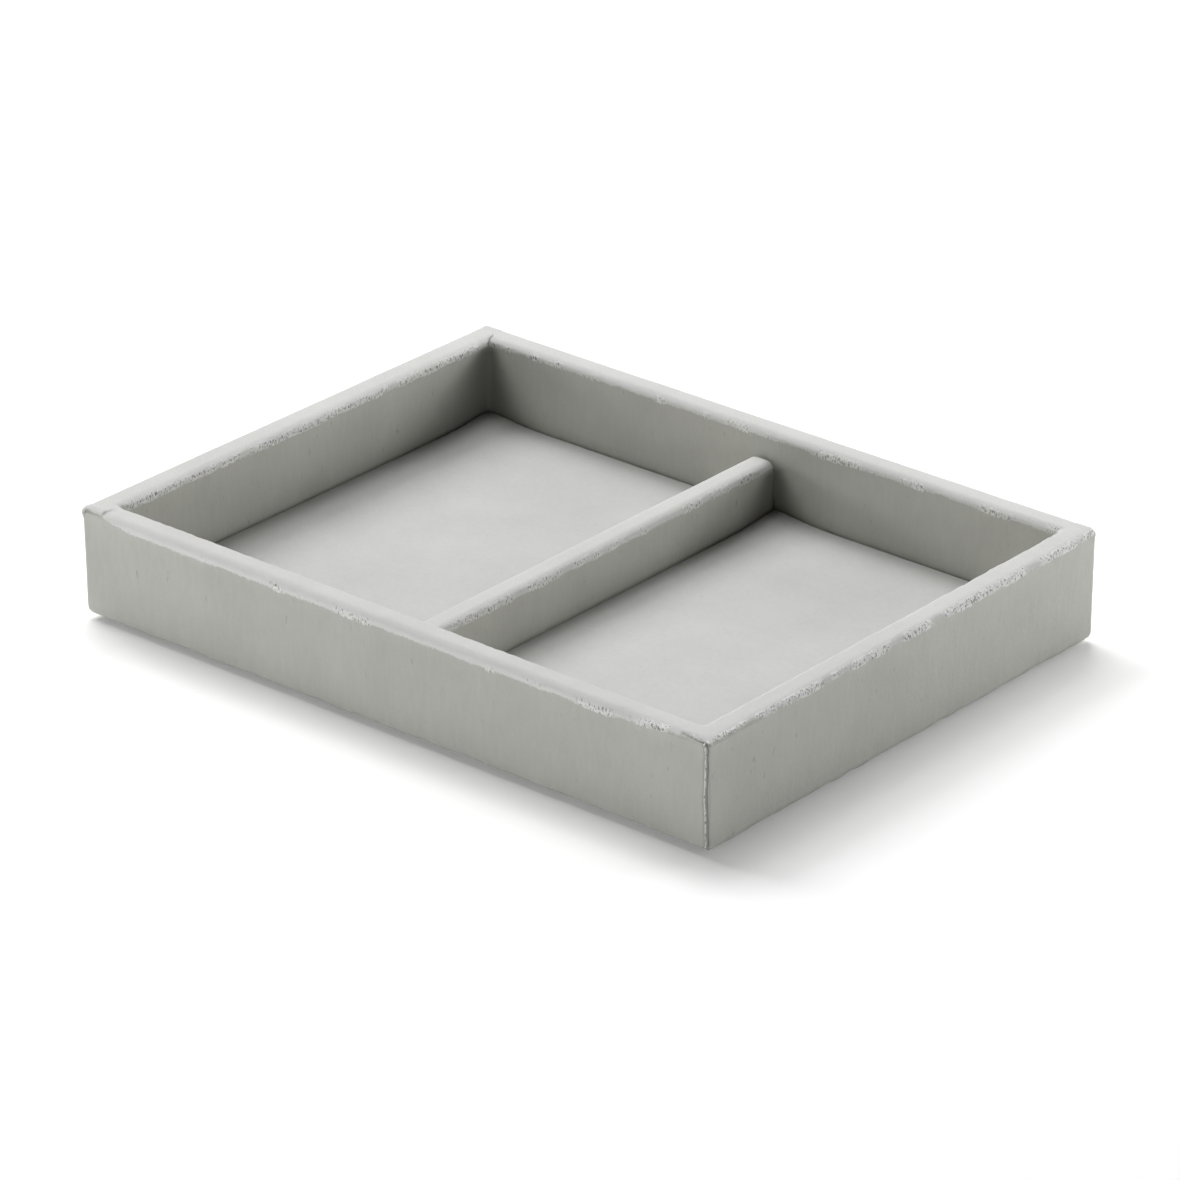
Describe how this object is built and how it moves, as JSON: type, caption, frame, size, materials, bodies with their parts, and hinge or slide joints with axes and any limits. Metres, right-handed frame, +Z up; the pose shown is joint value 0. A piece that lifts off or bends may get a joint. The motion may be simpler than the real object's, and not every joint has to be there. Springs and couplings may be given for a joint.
{
  "type": "divided velvet tray",
  "caption": "Shallow rectangular drawer tray covered in grey velvet, with a low divider that makes side-by-side compartments for jewellery and small things.",
  "frame": {"origin": "middle of the underside, on the surface that the tray stands on", "axes": "+X along the long walls from the left wall to the right one, +Y from the front wall to the back one, +Z up out of the compartments"},
  "size_m": [0.1564, 0.1214, 0.0245],
  "materials": {
    "grey_velvet": "matte short pile",
    "fibreboard": "matte",
    "grey_card": "matte",
    "grey_felt": "matte"
  },
  "bodies": {
    "root": {"base_board": "fibreboard", "front_wall_board": "fibreboard", "back_wall_board": "fibreboard", "left_wall_board": "fibreboard", "right_wall_board": "fibreboard", "divider_board": "fibreboard", "wall_velvet": "grey_velvet", "divider_velvet": "grey_velvet", "left_floor_velvet": "grey_velvet", "right_floor_velvet": "grey_velvet", "left_floor_card": "grey_card", "right_floor_card": "grey_card", "underside_cover": "grey_felt"}
  },
  "joints": []
}
